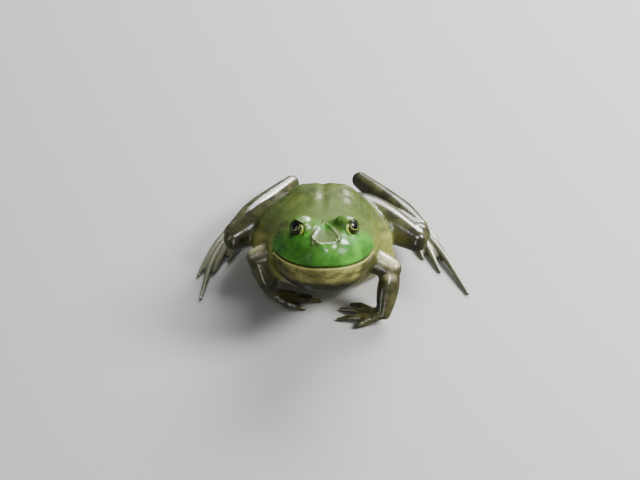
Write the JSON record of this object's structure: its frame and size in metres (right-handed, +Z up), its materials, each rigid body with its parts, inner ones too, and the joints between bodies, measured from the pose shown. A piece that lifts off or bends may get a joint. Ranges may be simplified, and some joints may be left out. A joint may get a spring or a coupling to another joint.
{
  "type": "bullfrog",
  "caption": "Life-size still model of a sitting American bullfrog, hands turned in under the throat and hind legs folded, resting on its belly, hands and feet.",
  "frame": {"origin": "on the floor under the belly, near the middle of the flat that the frog rests on", "axes": "+Z up, -Y ahead of the frog, +X to the frog's own left"},
  "size_m": [0.1668, 0.1539, 0.0777],
  "materials": {
    "head": "wet skin, vivid green",
    "lower_jaw": "wet skin, mottled olive and khaki",
    "trunk": "wet skin, olive green",
    "upper_arm": "wet skin, olive brown",
    "forearm": "wet skin, dark olive",
    "hand": "wet skin, dark olive",
    "thigh": "wet skin, grey olive with dark bars",
    "shank": "wet skin, grey olive with dark bars",
    "tarsus": "wet skin, grey olive",
    "foot": "wet skin, grey olive",
    "eardrum": "thin skin, brown olive",
    "eye": "wet, bronze iris with a gold ring round a black pupil"
  },
  "bodies": {
    "root": {"head": "head", "lower_jaw": "lower_jaw", "trunk": "trunk", "upper_arm_left": "upper_arm", "upper_arm_right": "upper_arm", "forearm_left": "forearm", "forearm_right": "forearm", "hand_left": "hand", "hand_right": "hand", "thigh_left": "thigh", "thigh_right": "thigh", "shank_left": "shank", "shank_right": "shank", "tarsus_left": "tarsus", "tarsus_right": "tarsus", "foot_left": "foot", "foot_right": "foot", "eardrum_left": "eardrum", "eardrum_right": "eardrum", "eye_left": "eye", "eye_right": "eye"}
  },
  "joints": []
}
